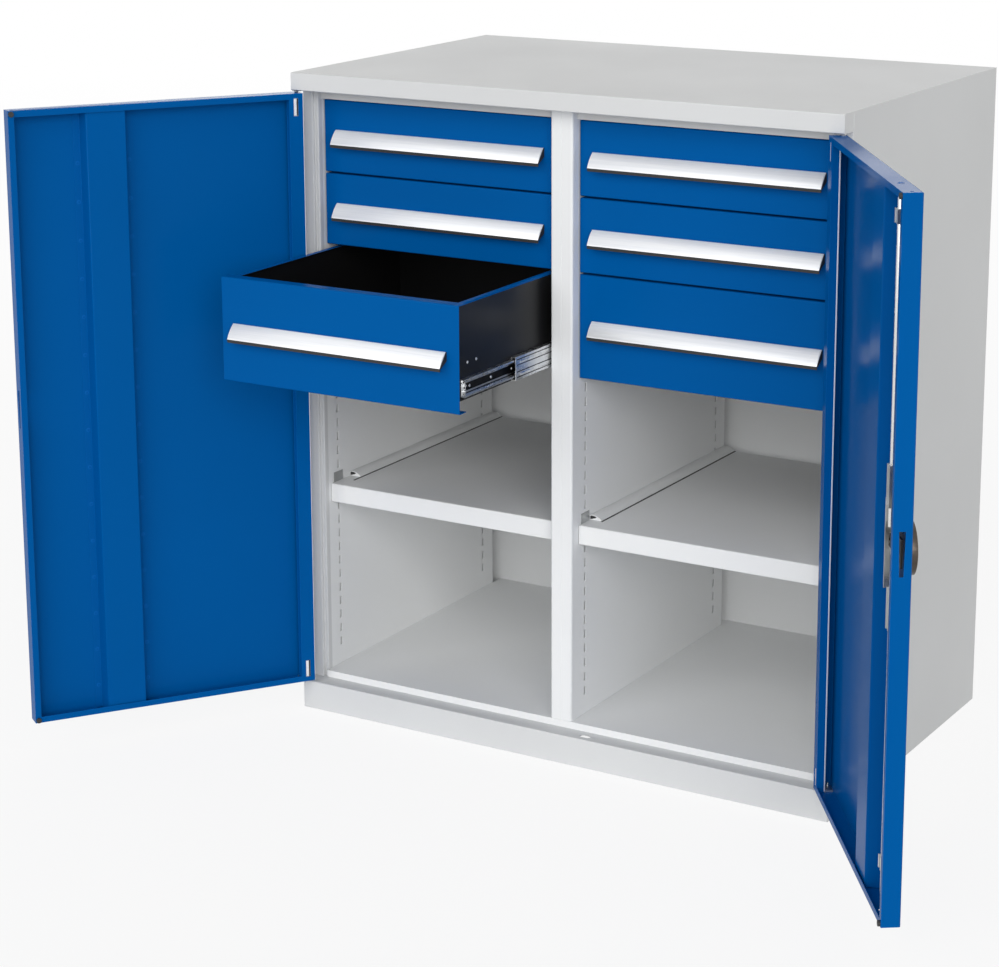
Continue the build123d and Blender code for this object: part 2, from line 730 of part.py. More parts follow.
def latch_bolt():
    reach = LATCH_PIN_RADIUS * COS_45
    y = (LATCH_Y, LATCH_Y + LATCH_T)
    pin_x = LOCK_X + reach
    half_x = LATCH_PIN_R + LATCH_PLAY
    low = LOCK_Z + reach - LATCH_PIN_R - LATCH_PLAY
    high = LOCK_Z + LATCH_PIN_RADIUS + LATCH_PIN_R + LATCH_PLAY
    edge = DOOR_X0 + LATCH_INSET
    arm = block((edge, pin_x + half_x + YOKE_WALL), y, LATCH_ARM)
    slot = block((pin_x - half_x, pin_x + half_x), y, (low, high))
    head = block((edge, edge + LATCH_HEAD_L), y, LATCH_HEAD)
    return arm - slot + head


def rod_guides():
    """Guide blocks on the skin, with an open channel for the rods."""
    blocks = []
    skin = DOOR_Y + DOOR_SHEET
    for side in (1, -1):
        x = LOCK_X + side * ROD_OFFSET
        near = LOCK_Z + side * GUIDE_START
        end = DOOR_TOP - END_GUIDE_TOP if side > 0 else DOOR_BOTTOM + END_GUIDE_LOW
        for start, length in ((near, side * GUIDE_L), (end, -side * END_GUIDE_L)):
            z = sorted((start, start + length))
            body = block((x - GUIDE_HALF, x + GUIDE_HALF), (skin, GUIDE_DEPTH), z)
            wide = ROD_R + ROD_FIT
            blocks.append(body - block((x - wide, x + wide), (ROD_Y - wide, GUIDE_DEPTH), z))
    return blocks


def lock_case():
    """Channel round the mechanism, open at both ends for the rods and slotted for the bolt."""
    skin = DOOR_Y + DOOR_SHEET
    x = (LOCK_X - LOCK_CASE_W / 2, LOCK_X + LOCK_CASE_W / 2)
    half_z = LOCK_CASE_H / 2
    z = (LOCK_Z - half_z, LOCK_Z + half_z)
    base = block(x, (skin, skin + SHEET), z)
    left = block((x[0], x[0] + SHEET), (skin, skin + LOCK_WALL), z)
    right = block((x[1] - SHEET, x[1]), (skin, skin + LOCK_WALL), z)
    gap = block(
        (x[0], x[0] + SHEET),
        (LATCH_Y - YOKE_PLAY, LATCH_Y + LATCH_T + YOKE_PLAY),
        (LATCH_HEAD[0] - YOKE_PLAY, LATCH_HEAD[1] + YOKE_PLAY),
    )
    bore = through_door(LOCK_X, LOCK_Z, skin, skin + SHEET, SPINDLE_R + BORE_GAP)
    sleeves = []
    for side in (1, -1):
        centre = LOCK_X + side * ROD_OFFSET
        edge = LOCK_Z + side * half_z
        near = sorted((LOCK_Z + side * (GUIDE_START - RUNNING), edge))
        sleeves.append(
            block((centre - GUIDE_HALF, centre + GUIDE_HALF), (skin, skin + SHEET), near)
        )
    return base + left + right - gap - bore - sleeves


def opened(shape):
    """Turn a right-door piece from closed to its resting angle about the hinge pin."""
    return Pos(PIVOT_X, PIVOT_Y, 0) * Rot(Z=OPEN_ANGLE) * Pos(-PIVOT_X, -PIVOT_Y, 0) * shape


# Fixed pieces
side = left_side()
liner = left_liner()
top_rail = left_top_rail()
shelf = left_shelf()
save("top_panel", lid())
save("left_side_panel", side)
save("right_side_panel", other_side(side))
save("left_slotted_liner", liner)
save("right_slotted_liner", other_side(liner))
save("plinth", base_frame())
save("floor_panel", floor())
save("centre_partition", partition())
save("top_front_rails", *both_sides(top_rail))
save("left_shelf", shelf)
save("right_shelf", other_side(shelf))
save("shelf_clips", *clips())
save(
    "back_panel",
    block(
        (-HALF_W + SHEET + BEND, HALF_W - SHEET - BEND),
        (BACK_Y, BACK_Y + SHEET),
        (PLINTH_H, TOP_Z - BEND),
    ),
)

# Drawers and runners
fixed_rails = []
for level, (bottom, height) in drawer_levels().items():
    run_z = bottom + RUN_LIFT
    fixed = rail_pair(OUTER_RAIL, run_z)
    fixed_rails += fixed + [other_side(rail) for rail in fixed]
    box = drawer_box(bottom, height)
    front = drawer_front(bottom, height)
    grip = handle(bottom, height)
    for bay in ("left", "right"):
        pulled = OPEN_DRAWER if bay == "left" and level == "3" else 0
        out = Pos(0, -pulled, 0)
        middle = rail_pair(MIDDLE_RAIL, run_z, pulled / 2)
        inner = rail_pair(INNER_RAIL, run_z, pulled)
        pieces = {"box": [box], "front": [front], "handle": [grip]}
        pieces = {name: [out * piece for piece in shapes] for name, shapes in pieces.items()}
        pieces["rails"] = inner
        pieces["middle_rails"] = middle
        for name, shapes in pieces.items():
            placed = shapes if bay == "left" else [other_side(shape) for shape in shapes]
            save(f"{bay}_drawer_{level}_{name}", *placed)
save("fixed_rails", *fixed_rails)

# Doors and lock
save("hinge_pins", *(hinge_pins() + [other_side(pin) for pin in hinge_pins()]))
right_door = {
    "right_door_panel": [door_panel(True)],
    "right_door_stiffener": [door_stiffener()],
    "right_door_hinge_plates": hinge_plates(),
    "right_door_buffers": buffers(),
    "rod_guides": rod_guides(),
    "lock_case": [lock_case()],
    "rotary_handle": [rotary_handle()],
    "lock_cylinder": [lock_cylinder()],
    "upper_lock_rod": [rod(1)],
    "lower_lock_rod": [rod(-1)],
    "latch_bolt": [latch_bolt()],
}
left_door = {
    "left_door_panel": [door_panel(False)],
    "left_door_stiffener": [door_stiffener()],
    "left_door_hinge_plates": hinge_plates(),
    "left_door_buffers": buffers(),
}
for node, shapes in right_door.items():
    save(node, *[opened(shape) for shape in shapes])
for node, shapes in left_door.items():
    save(node, *[other_side(opened(shape)) for shape in shapes])
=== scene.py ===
"""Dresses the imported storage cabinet: finishes, thin trim that rides on its bodies, a camera near
the photograph's, a pale floor and plain studio light."""

import json
import math

import bmesh
import bpy
from mathutils import Matrix, Vector


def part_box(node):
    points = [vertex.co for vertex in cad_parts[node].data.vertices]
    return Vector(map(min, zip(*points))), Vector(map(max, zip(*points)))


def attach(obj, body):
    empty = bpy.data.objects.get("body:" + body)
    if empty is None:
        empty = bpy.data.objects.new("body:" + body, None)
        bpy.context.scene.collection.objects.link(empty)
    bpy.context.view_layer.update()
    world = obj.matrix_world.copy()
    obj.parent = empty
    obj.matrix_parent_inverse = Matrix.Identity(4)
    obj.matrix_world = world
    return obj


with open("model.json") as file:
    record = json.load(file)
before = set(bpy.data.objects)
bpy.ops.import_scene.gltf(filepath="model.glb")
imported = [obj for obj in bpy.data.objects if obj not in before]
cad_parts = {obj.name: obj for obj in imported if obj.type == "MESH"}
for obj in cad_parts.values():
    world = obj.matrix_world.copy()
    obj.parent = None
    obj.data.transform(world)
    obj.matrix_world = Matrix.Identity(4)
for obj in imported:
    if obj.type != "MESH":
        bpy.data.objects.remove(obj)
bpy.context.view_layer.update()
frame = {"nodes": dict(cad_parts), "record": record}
nodes = frame["nodes"]
scene = bpy.context.scene
scene.view_settings.view_transform = "Standard"

MM = 0.001
CASE_D = 0.630
HALF_D = CASE_D / 2

# Materials: limits between which most of a noise's values lie, sockets of the mix node, how an
# edge is told from a flat area, and stretches that turn noise into lines
NOISE_LOW = 0.3
NOISE_HIGH = 0.7
MIX_FACTOR = 0
MIX_FIRST = 6
MIX_SECOND = 7
MIX_RESULT = 2
EDGE_SAMPLES = 6
EDGE_SHARP = 0.85
EDGE_FLAT = 0.99
LINES_ALONG_X = (0.04, 1.0, 1.0)
LINES_ALONG_Y = (1.0, 0.04, 1.0)
LINES_ALONG_Z = (1.0, 1.0, 0.02)
STROKES_ALONG_X = (0.02, 1.0, 1.0)


class Tree:
    """Small helper that adds nodes to a material and links them."""

    def __init__(self, name):
        self.material = bpy.data.materials.new(name)
        self.material.use_nodes = True
        self.nodes = self.material.node_tree.nodes
        self.links = self.material.node_tree.links
        self.shader = self.nodes["Principled BSDF"]
        self.place = self.add("ShaderNodeTexCoord").outputs["Object"]

    def add(self, kind, **values):
        node = self.nodes.new(kind)
        for key, value in values.items():
            setattr(node, key, value)
        return node

    def link(self, source, target):
        self.links.new(source, target)

    def stretched(self, scale):
        mapping = self.add("ShaderNodeMapping")
        mapping.inputs["Scale"].default_value = scale
        self.link(self.place, mapping.inputs["Vector"])
        return mapping.outputs["Vector"]

    def noise(self, scale, detail=2.0, stretch=None, rough=0.5):
        node = self.add("ShaderNodeTexNoise")
        node.inputs["Scale"].default_value = scale
        node.inputs["Detail"].default_value = detail
        node.inputs["Roughness"].default_value = rough
        self.link(self.stretched(stretch) if stretch else self.place, node.inputs["Vector"])
        return node.outputs["Fac"]

    def cells(self, scale):
        """A random tone for each cell."""
        node = self.add("ShaderNodeTexVoronoi")
        node.inputs["Scale"].default_value = scale
        self.link(self.place, node.inputs["Vector"])
        return node.outputs["Color"]

    def spread(self, source, low, high, low_in=0.0, high_in=1.0):
        node = self.add("ShaderNodeMapRange")
        node.inputs["From Min"].default_value = low_in
        node.inputs["From Max"].default_value = high_in
        node.inputs["To Min"].default_value = low
        node.inputs["To Max"].default_value = high
        self.link(source, node.inputs["Value"])
        return node.outputs["Result"]

    def swing(self, noise, low, high):
        """Noise that swings over the whole way from low to high."""
        return self.spread(noise, low, high, NOISE_LOW, NOISE_HIGH)

    def mixed(self, amount, first, second):
        node = self.add("ShaderNodeMix", data_type="RGBA")
        for socket, value in (
            (node.inputs[MIX_FIRST], first),
            (node.inputs[MIX_SECOND], second),
        ):
            if isinstance(value, tuple):
                socket.default_value = value
            else:
                self.link(value, socket)
        self.link(amount, node.inputs[MIX_FACTOR])
        return node.outputs[MIX_RESULT]

    def product(self, first, second):
        node = self.add("ShaderNodeMath", operation="MULTIPLY")
        self.link(first, node.inputs[0])
        self.link(second, node.inputs[1])
        return node.outputs["Value"]

    def bump(self, height, distance, strength, under=None):
        node = self.add("ShaderNodeBump")
        node.inputs["Strength"].default_value = strength
        node.inputs["Distance"].default_value = distance
        self.link(height, node.inputs["Height"])
        if under:
            self.link(under, node.inputs["Normal"])
        return node.outputs["Normal"]

    def edges(self, radius):
        """0 on flat areas, rising to 1 on edges narrower than the radius."""
        bevel = self.add("ShaderNodeBevel", samples=EDGE_SAMPLES)
        bevel.inputs["Radius"].default_value = radius
        geometry = self.add("ShaderNodeNewGeometry")
        dot = self.add("ShaderNodeVectorMath", operation="DOT_PRODUCT")
        self.link(bevel.outputs["Normal"], dot.inputs[0])
        self.link(geometry.outputs["Normal"], dot.inputs[1])
        return self.spread(dot.outputs["Value"], 1.0, 0.0, EDGE_SHARP, EDGE_FLAT)

    def put(self, name, source):
        socket = self.shader.inputs[name]
        if isinstance(source, (float, tuple)):
            socket.default_value = source
        else:
            self.link(source, socket)


def linear(value):
    """sRGB 0-255 to linear light."""
    c = value / 255
    return c / 12.92 if c <= 0.04045 else ((c + 0.055) / 1.055) ** 2.4


def colour(red, green, blue):
    return (linear(red), linear(green), linear(blue), 1.0)


def toned(base, factor, lift=0.0):
    """The colour made darker or lighter by a factor and a lift."""
    return tuple(min(1.0, c * factor + lift) for c in base[:3]) + (1.0,)


def powder_coat(name, base, rough, peel, ior=1.5, level=0.5, specks=0.14, bend_highlight=1.08):
    """Powder-coated sheet: orange peel, slow drift of tone, fine specks and bends lightened as
    painted highlight.
    """
    t = Tree(name)
    drift = t.swing(t.noise(scale=2.3, detail=3.0), 0.0, 1.0)
    tone = t.mixed(drift, toned(base, 0.965), toned(base, 1.02))
    grain = t.spread(t.noise(scale=900.0), 0.0, specks, low_in=0.45, high_in=0.75)
    tone = t.mixed(grain, tone, toned(base, 1.1, lift=0.004))
    # Painted highlight: the bends are made lighter than the flat sheet
    tone = t.mixed(t.spread(t.edges(1.2 * MM), 0.0, 0.7), tone, toned(base, bend_highlight, lift=0.01))
    t.put("Base Color", tone)
    dust = t.noise(scale=6.0, detail=5.0, rough=0.65)
    t.put("Roughness", t.swing(dust, rough - 0.03, rough + 0.05))
    fine = t.bump(t.noise(scale=420.0, detail=3.0), distance=0.2 * MM, strength=peel)
    waves = t.noise(scale=60.0)
    t.put("Normal", t.bump(waves, distance=0.8 * MM, strength=peel * 0.3, under=fine))
    t.put("IOR", ior)
    t.put("Specular IOR Level", level)
    return t.material


def zinc_sheet(name, base, rough, spangle=260.0, lines=LINES_ALONG_Y):
    """Zinc-plated steel: faint crystal cells, roll marks and dull patches."""
    t = Tree(name)
    tone = t.mixed(t.spread(t.cells(spangle), 0.0, 0.10), base, toned(base, 0.72))
    haze = t.spread(t.noise(scale=28.0, detail=4.0), 0.0, 0.35, low_in=0.4, high_in=0.75)
    warm = (base[0] * 0.92, base[1] * 0.90, base[2] * 0.82, 1.0)
    t.put("Base Color", t.mixed(haze, tone, warm))
    t.put("Metallic", 1.0)
    patches = t.noise(scale=55.0, detail=4.0)
    t.put("Roughness", t.swing(patches, rough - 0.08, rough + 0.12))
    marks = t.noise(scale=90.0, detail=3.0, stretch=lines)
    fine = t.bump(marks, distance=0.2 * MM, strength=0.35)
    t.put("Normal", t.bump(t.noise(scale=650.0), distance=0.08 * MM, strength=0.4, under=fine))
    return t.material


def brushed_aluminium(name):
    """Drawn and anodised strip: lines along X, edges lightened as a painted highlight."""
    t = Tree(name)
    strokes = t.noise(scale=240.0, detail=5.0, stretch=STROKES_ALONG_X, rough=0.7)
    tone = t.mixed(t.swing(strokes, 0.0, 1.0), colour(247, 248, 249), colour(232, 234, 237))
    # Painted highlight: the edges are made nearly white
    tone = t.mixed(t.spread(t.edges(0.6 * MM), 0.0, 0.6), tone, colour(250, 251, 252))
    t.put("Base Color", tone)
    t.put("Metallic", 0.35)
    t.put("Roughness", t.swing(strokes, 0.34, 0.48))
    t.put("Normal", t.bump(strokes, distance=0.12 * MM, strength=0.45))
    return t.material


def turned_metal(name, base, worn, rough):
    """Cast or turned metal with a brown or grey surface that is brighter where hands rub it."""
    t = Tree(name)
    patch = t.noise(scale=60.0, detail=5.0, rough=0.6)
    tone = t.mixed(t.spread(patch, 0.0, 1.0, low_in=0.3, high_in=0.72), toned(base, 0.62), base)
    tone = t.mixed(t.spread(t.edges(1.1 * MM), 0.0, 0.8), tone, worn)
    t.put("Base Color", tone)
    t.put("Metallic", 0.9)
    t.put("Roughness", t.swing(patch, rough - 0.06, rough + 0.12))
    t.put("Normal", t.bump(t.noise(scale=800.0, detail=3.0), distance=0.1 * MM, strength=0.6))
    return t.material


def moulded(name, base, rough):
    """Moulded plastic or rubber with a fine eroded grain."""
    t = Tree(name)
    grain = t.swing(t.noise(scale=180.0, detail=4.0), 0.0, 1.0)
    t.put("Base Color", t.mixed(grain, base, toned(base, 1.5, lift=0.004)))
    patches = t.noise(scale=45.0, detail=3.0)
    t.put("Roughness", t.swing(patches, rough - 0.07, rough + 0.07))
    t.put("Normal", t.bump(t.noise(scale=1300.0), distance=0.12 * MM, strength=0.6))
    return t.material


BODY_GREY = colour(216, 217, 217)
# The inside paint, made lighter than the body's grey as painted light for the dimly lit compartments
INSIDE_GREY_WITH_PAINTED_LIGHT = colour(238, 239, 239)
BLUE = colour(0, 87, 158)
BLACK = colour(22, 22, 23)
RUNNER_ZINC = colour(222, 224, 226)
ZINC = colour(204, 206, 207)
ROD = colour(226, 227, 228)
OXIDE = colour(30, 30, 32)
OXIDE_WORN = colour(70, 70, 72)
BRONZE = colour(92, 84, 77)
BRONZE_WORN = colour(176, 166, 154)
NICKEL = colour(190, 190, 186)
NICKEL_WORN = colour(235, 235, 232)
RUBBER = colour(34, 34, 35)

FINISHES = {
    "grey_paint": powder_coat("grey_powder_coat", BODY_GREY, rough=0.50, peel=0.10, level=0.12),
    "grey_inside": powder_coat(
        "grey_inside_coat_with_painted_light", INSIDE_GREY_WITH_PAINTED_LIGHT, rough=0.50, peel=0.10, level=0.12
    ),
    "blue_paint": powder_coat(
        "blue_powder_coat", BLUE, rough=0.20, peel=0.03, ior=1.09, specks=0.06, bend_highlight=1.5
    ),
    "black_paint": powder_coat("black_powder_coat", BLACK, rough=0.34, peel=0.12, level=0.25),
    "handle_aluminium": brushed_aluminium("drawn_aluminium"),
    "runner_zinc": zinc_sheet("runner_zinc_plate", RUNNER_ZINC, rough=0.28, spangle=900.0),
    "zinc": zinc_sheet("zinc_plate", ZINC, rough=0.34, lines=LINES_ALONG_X),
    "rod_steel": zinc_sheet("drawn_rod_steel", ROD, rough=0.24, lines=LINES_ALONG_Z),
    "black_steel": turned_metal("black_oxide", OXIDE, OXIDE_WORN, rough=0.45),
    "knob_bronze": turned_metal("knob_bronze_finish", BRONZE, BRONZE_WORN, rough=0.34),
    "cylinder_nickel": turned_metal("cylinder_nickel_finish", NICKEL, NICKEL_WORN, rough=0.26),
    "buffer_rubber": moulded("buffer_rubber_black", RUBBER, rough=0.62),
}

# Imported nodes: their finish and slightly rounded edges
WELD_GAP = 1e-5
FLAT_ANGLE = 0.5
NODE_EDGE = 0.35 * MM
NODE_EDGE_ANGLE = 40
TRIM_EDGE = 0.2 * MM
TRIM_EDGE_ANGLE = 30
EDGE_SEGMENTS = 2
SMOOTH_ANGLE = 40


def rounded(obj, width, angle):
    """Rounds the edges that turn by more than the angle."""
    bevel = obj.modifiers.new("edge", "BEVEL")
    bevel.width = width
    bevel.segments = EDGE_SEGMENTS
    bevel.limit_method = "ANGLE"
    bevel.angle_limit = math.radians(angle)
    return bevel


def dressed(obj):
    """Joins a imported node's split vertices, clears its flat faces and rounds its edges a little."""
    weld = obj.modifiers.new("weld", "WELD")
    weld.merge_threshold = WELD_GAP
    flat = obj.modifiers.new("flat", "DECIMATE")
    flat.decimate_type = "DISSOLVE"
    flat.angle_limit = math.radians(FLAT_ANGLE)
    rounded(obj, NODE_EDGE, NODE_EDGE_ANGLE).harden_normals = True


slot_of = {part["node"]: part["material_slot"] for part in frame["record"]["subparts"]}

for name, obj in nodes.items():
    for slot in obj.material_slots:
        slot.material = FINISHES[slot_of[name]]
    dressed(obj)

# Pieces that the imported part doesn't have. Door pieces are given as on the closed right door, in
# millimetres from the case's middle and front face, and turned to the doors' resting places.
OPEN_ANGLE = 125
PIVOT_X = 495
PIVOT_Y = 8
AXES = {"x": (1, 2, 0), "y": (0, 2, 1), "z": (0, 1, 2)}
HEAD_SIDES = 16
HEAD_RINGS = (0.0, 0.55, 0.85, 1.0)
HEAD_ROUND = 0.92


def row_y(place):
    """From millimetres behind the front face to the frame's y."""
    return place * MM - HALF_D


def front_based(x, y, z):
    return Vector((x * MM, row_y(y), z * MM))


def drawn(outline):
    """Outline in x and y from millimetres to the frame."""
    return [(x * MM, row_y(y)) for x, y in outline]


def bar(near, far, low, high):
    """Rectangle from one face to another, between two heights."""
    return [(near, low), (far, low), (far, high), (near, high)]


def door_turn(side):
    """From the closed right door to a door at rest; side is 1 for the right and -1 for the left."""
    pivot = front_based(PIVOT_X, PIVOT_Y, 0)
    turn = Matrix.Rotation(math.radians(OPEN_ANGLE), 4, "Z")
    opened = Matrix.Translation(pivot) @ turn @ Matrix.Translation(-pivot)
    return Matrix.Diagonal((side, 1, 1, 1)) @ opened


def angles(sides):
    """Evenly spaced round a full turn."""
    return [2 * math.pi * k / sides for k in range(sides)]


class Piece:
    """One mesh of prisms, hoops and domed heads that rides on a body."""

    def __init__(self, name, slot, body, turn=None):
        self.name = name
        self.slot = slot
        self.body = body
        self.turn = turn or Matrix.Identity(4)
        self.shape = bmesh.new()

    def points(self, rings):
        return [[self.shape.verts.new(point) for point in ring] for ring in rings]

    def bridge(self, low, high):
        count = len(low)
        for k in range(count):
            j = (k + 1) % count
            self.shape.faces.new((low[k], low[j], high[j], high[k]))

    def loft(self, rings):
        """Closed skin over rings of points, capped at both ends."""
        rows = self.points(rings)
        for low, high in zip(rows, rows[1:]):
            self.bridge(low, high)
        self.shape.faces.new(rows[0])
        self.shape.faces.new(rows[-1])

    def hoop(self, rings):
        """Closed skin over rings of points, the last one joined to the first."""
        rows = self.points(rings)
        for low, high in zip(rows, rows[1:] + rows[:1]):
            self.bridge(low, high)

    def prism(self, outline, axis, start, end):
        first, second, along = AXES[axis]
        rings = []
        for place in (start, end):
            ring = []
            for u, v in outline:
                point = [0.0, 0.0, 0.0]
                point[first], point[second], point[along] = u, v, place
                ring.append(Vector(point))
            rings.append(ring)
        self.loft(rings)

    def head(self, centre, normal, radius, height):
        """Round head standing on a face: a straight rim, then a dome."""
        normal = Vector(normal).normalized()
        across = normal.orthogonal().normalized()
        beside = normal.cross(across)
        rings = []
        for share in HEAD_RINGS:
            middle = Vector(centre) + normal * (height * share)
            size = radius * math.sqrt(1 - share * share * HEAD_ROUND)
            rings.append(
                [
                    middle + (across * math.cos(a) + beside * math.sin(a)) * size
                    for a in angles(HEAD_SIDES)
                ]
            )
        self.loft(rings)

    def done(self, edge=0.0, smooth=SMOOTH_ANGLE):
        mesh = bpy.data.meshes.new(self.name)
        self.shape.transform(self.turn)
        bmesh.ops.recalc_face_normals(self.shape, faces=self.shape.faces[:])
        self.shape.to_mesh(mesh)
        self.shape.free()
        mesh.materials.append(FINISHES[self.slot])
        obj = bpy.data.objects.new(self.name, mesh)
        scene.collection.objects.link(obj)
        if edge:
            rounded(obj, edge, TRIM_EDGE_ANGLE)
        mesh.shade_smooth()
        mesh.set_sharp_from_angle(angle=math.radians(smooth))
        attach(obj, self.body)


# Drawers: rims over the side walls, and dark pieces of painted shade under the grip strips' lips and
# in their open ends
RIM_T = 0.5 * MM
RIM_DROP = 3.0 * MM
RIM_W = 7.4 * MM
LIP_RISE = 0.92 * MM
LIP_T = 2.32 * MM
UNDER_SHADE = 5.2 * MM
UNDER_SHADE_REAR = UNDER_SHADE * 0.75
UNDER_SHADE_TAPER = 0.6 * MM
END_SHADE_T = 0.7 * MM
END_SHADE_DOWN = 0.4 * MM
END_SHADE_H = 15 * MM
END_SHADE_SLANT = 2 * MM


def drawer_rims(drawer):
    low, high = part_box(drawer + "_box")
    rims = Piece(drawer + "_side_rims", "blue_paint", drawer)
    for wall, inward in ((low.x, 1), (high.x, -1)):
        outline = [
            (wall - inward * RIM_T, high.z - RIM_DROP),
            (wall - inward * RIM_T, high.z + RIM_T),
            (wall + inward * RIM_W, high.z + RIM_T),
            (wall + inward * RIM_W, high.z),
            (wall, high.z),
            (wall, high.z - RIM_DROP),
        ]
        rims.prism(outline, "y", low.y + RIM_W, high.y)
    rims.done(TRIM_EDGE)


def grip_shade(drawer):
    """Painted shade: a dark profile under the grip strip's free lip, and dark pieces in its open
    ends.
    """
    low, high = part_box(drawer + "_handle")
    shade_pieces = Piece(drawer + "_grip_shade", "buffer_rubber", drawer)
    lip = (low.y, low.z + LIP_RISE)
    heel = (low.y + LIP_T, low.z)
    profile = [lip, heel, (heel[0], heel[1] - UNDER_SHADE_REAR), (lip[0] + UNDER_SHADE_TAPER, lip[1] - UNDER_SHADE)]
    shade_pieces.prism(profile, "x", low.x, high.x)
    top = high.z - END_SHADE_DOWN
    end_shade = [lip, heel, (high.y, high.z - END_SHADE_H), (high.y, top), (high.y - END_SHADE_SLANT, top)]
    for start in (low.x - END_SHADE_T, high.x):
        shade_pieces.prism(end_shade, "x", start, start + END_SHADE_T)
    shade_pieces.done(TRIM_EDGE)


# Drawer rails: dark bands as (height, half width) of painted shade in their channels, rivets and
# a wavy nose, which is given as a path of (way back, height) in millimetres from the rail's front
# and middle
WEB_IN = 6.5 * MM
SHADE_BANDS = ((0.0, 6.0), (-9.8, 0.8), (9.8, 0.8))
SHADE_BAND_FRONT = 8 * MM
SHADE_BAND_REAR = 12 * MM
SHADE_BAND_T = 0.35 * MM
RIVET_R = 2.6 * MM
RIVET_H = 1.1 * MM
RIVET_FRONT = 24 * MM
RIVET_REAR = 20 * MM
RIVET_PITCH = 64.0 * MM
NOSE_PATH = (
    (3.5, 12.5),
    (1.2, 8.5),
    (5.2, 4.5),
    (2.2, 0.0),
    (5.2, -4.5),
    (1.2, -8.5),
    (3.5, -12.5),
)
NOSE_T = 1.9
NOSE_LOOP = NOSE_PATH + tuple((back + NOSE_T, up) for back, up in reversed(NOSE_PATH))
NOSE_OUT = 5.5 * MM


def runner_channel(drawer):
    """Dark bands of painted shade and rivets in the drawer's rails, and the rails' wavy noses."""
    low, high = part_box(drawer + "_rails")
    middle = (low.z + high.z) / 2
    channel_shade = Piece(drawer + "_rail_channel_shade", "black_steel", drawer)
    rivets = Piece(drawer + "_rail_rivets", "runner_zinc", drawer)
    for outer, inward in ((low.x, 1), (high.x, -1)):
        web = outer + inward * WEB_IN
        face = web - inward * SHADE_BAND_T
        for lift, half in SHADE_BANDS:
            shade_band = bar(web, face, middle + (lift - half) * MM, middle + (lift + half) * MM)
            channel_shade.prism(shade_band, "y", low.y + SHADE_BAND_FRONT, high.y - SHADE_BAND_REAR)
        place = low.y + RIVET_FRONT
        while place < high.y - RIVET_REAR:
            rivets.head((face, place, middle), (-inward, 0, 0), RIVET_R, RIVET_H)
            place += RIVET_PITCH
        nose = [(low.y + back * MM, middle + up * MM) for back, up in NOSE_LOOP]
        rivets.prism(nose, "x", *sorted((web, web - inward * NOSE_OUT)))
    channel_shade.done()
    rivets.done(TRIM_EDGE)


# Box walls: rivets beside the holes, which are this far back and above the rails' middle
HOLES_BACK = (40.5 * MM, 66.5 * MM)
HOLES_UP = 37.5 * MM
BOX_RIVET_R = 2.4 * MM
BOX_RIVET_H = 0.9 * MM


def box_rivets(drawer):
    """Rivets beside the two holes near the front of each side wall."""
    low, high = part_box(drawer + "_box")
    rails_low, rails_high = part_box(drawer + "_rails")
    lift = (rails_low.z + rails_high.z) / 2 + HOLES_UP
    rivets = Piece(drawer + "_box_rivets", "runner_zinc", drawer)
    for wall, outward in ((low.x, -1), (high.x, 1)):
        for back in HOLES_BACK:
            rivets.head((wall, low.y + back, lift), (outward, 0, 0), BOX_RIVET_R, BOX_RIVET_H)
    rivets.done()


# Middle rails: ribs, with their outline as (outward, height) in millimetres, and thin dark strips
# of painted groove shade
RIB = ((0.0, -2.2), (0.5, -1.3), (0.7, 0.0), (0.5, 1.3), (0.0, 2.2))
RIB_UP = 10 * MM
RIB_INSET = 14 * MM
SHADE_LINE_UP = 4.4 * MM
SHADE_LINE_HALF = 0.75 * MM
SHADE_LINE_T = 0.15 * MM
SHADE_LINE_INSET = 4 * MM


def middle_ribs(drawer, body):
    """Two long ribs rolled into the wall side of each middle rail, and four dark strips of painted
    groove shade.
    """
    low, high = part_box(drawer + "_middle_rails")
    middle = (low.z + high.z) / 2
    ribs = Piece(drawer + "_middle_rail_ribs", "runner_zinc", body)
    shade_lines = Piece(drawer + "_middle_rail_grooves", "black_steel", body)
    for outer, outward in ((low.x, -1), (high.x, 1)):
        for centre in (middle - RIB_UP, middle + RIB_UP):
            outline = [(outer + outward * out * MM, centre + up * MM) for out, up in RIB]
            ribs.prism(outline, "y", low.y + RIB_INSET, high.y - RIB_INSET)
            for height in (centre - SHADE_LINE_UP, centre + SHADE_LINE_UP):
                face = outer + outward * SHADE_LINE_T
                shade_line = bar(outer, face, height - SHADE_LINE_HALF, height + SHADE_LINE_HALF)
                shade_lines.prism(shade_line, "y", low.y + SHADE_LINE_INSET, high.y - SHADE_LINE_INSET)
    ribs.done()
    shade_lines.done()


for bay in ("left", "right"):
    for level in (1, 2, 3):
        drawer = f"{bay}_drawer_{level}"
        drawer_rims(drawer)
        grip_shade(drawer)
        runner_channel(drawer)
        box_rivets(drawer)
        middle_ribs(drawer, f"{bay}_middle_rails_{level}")

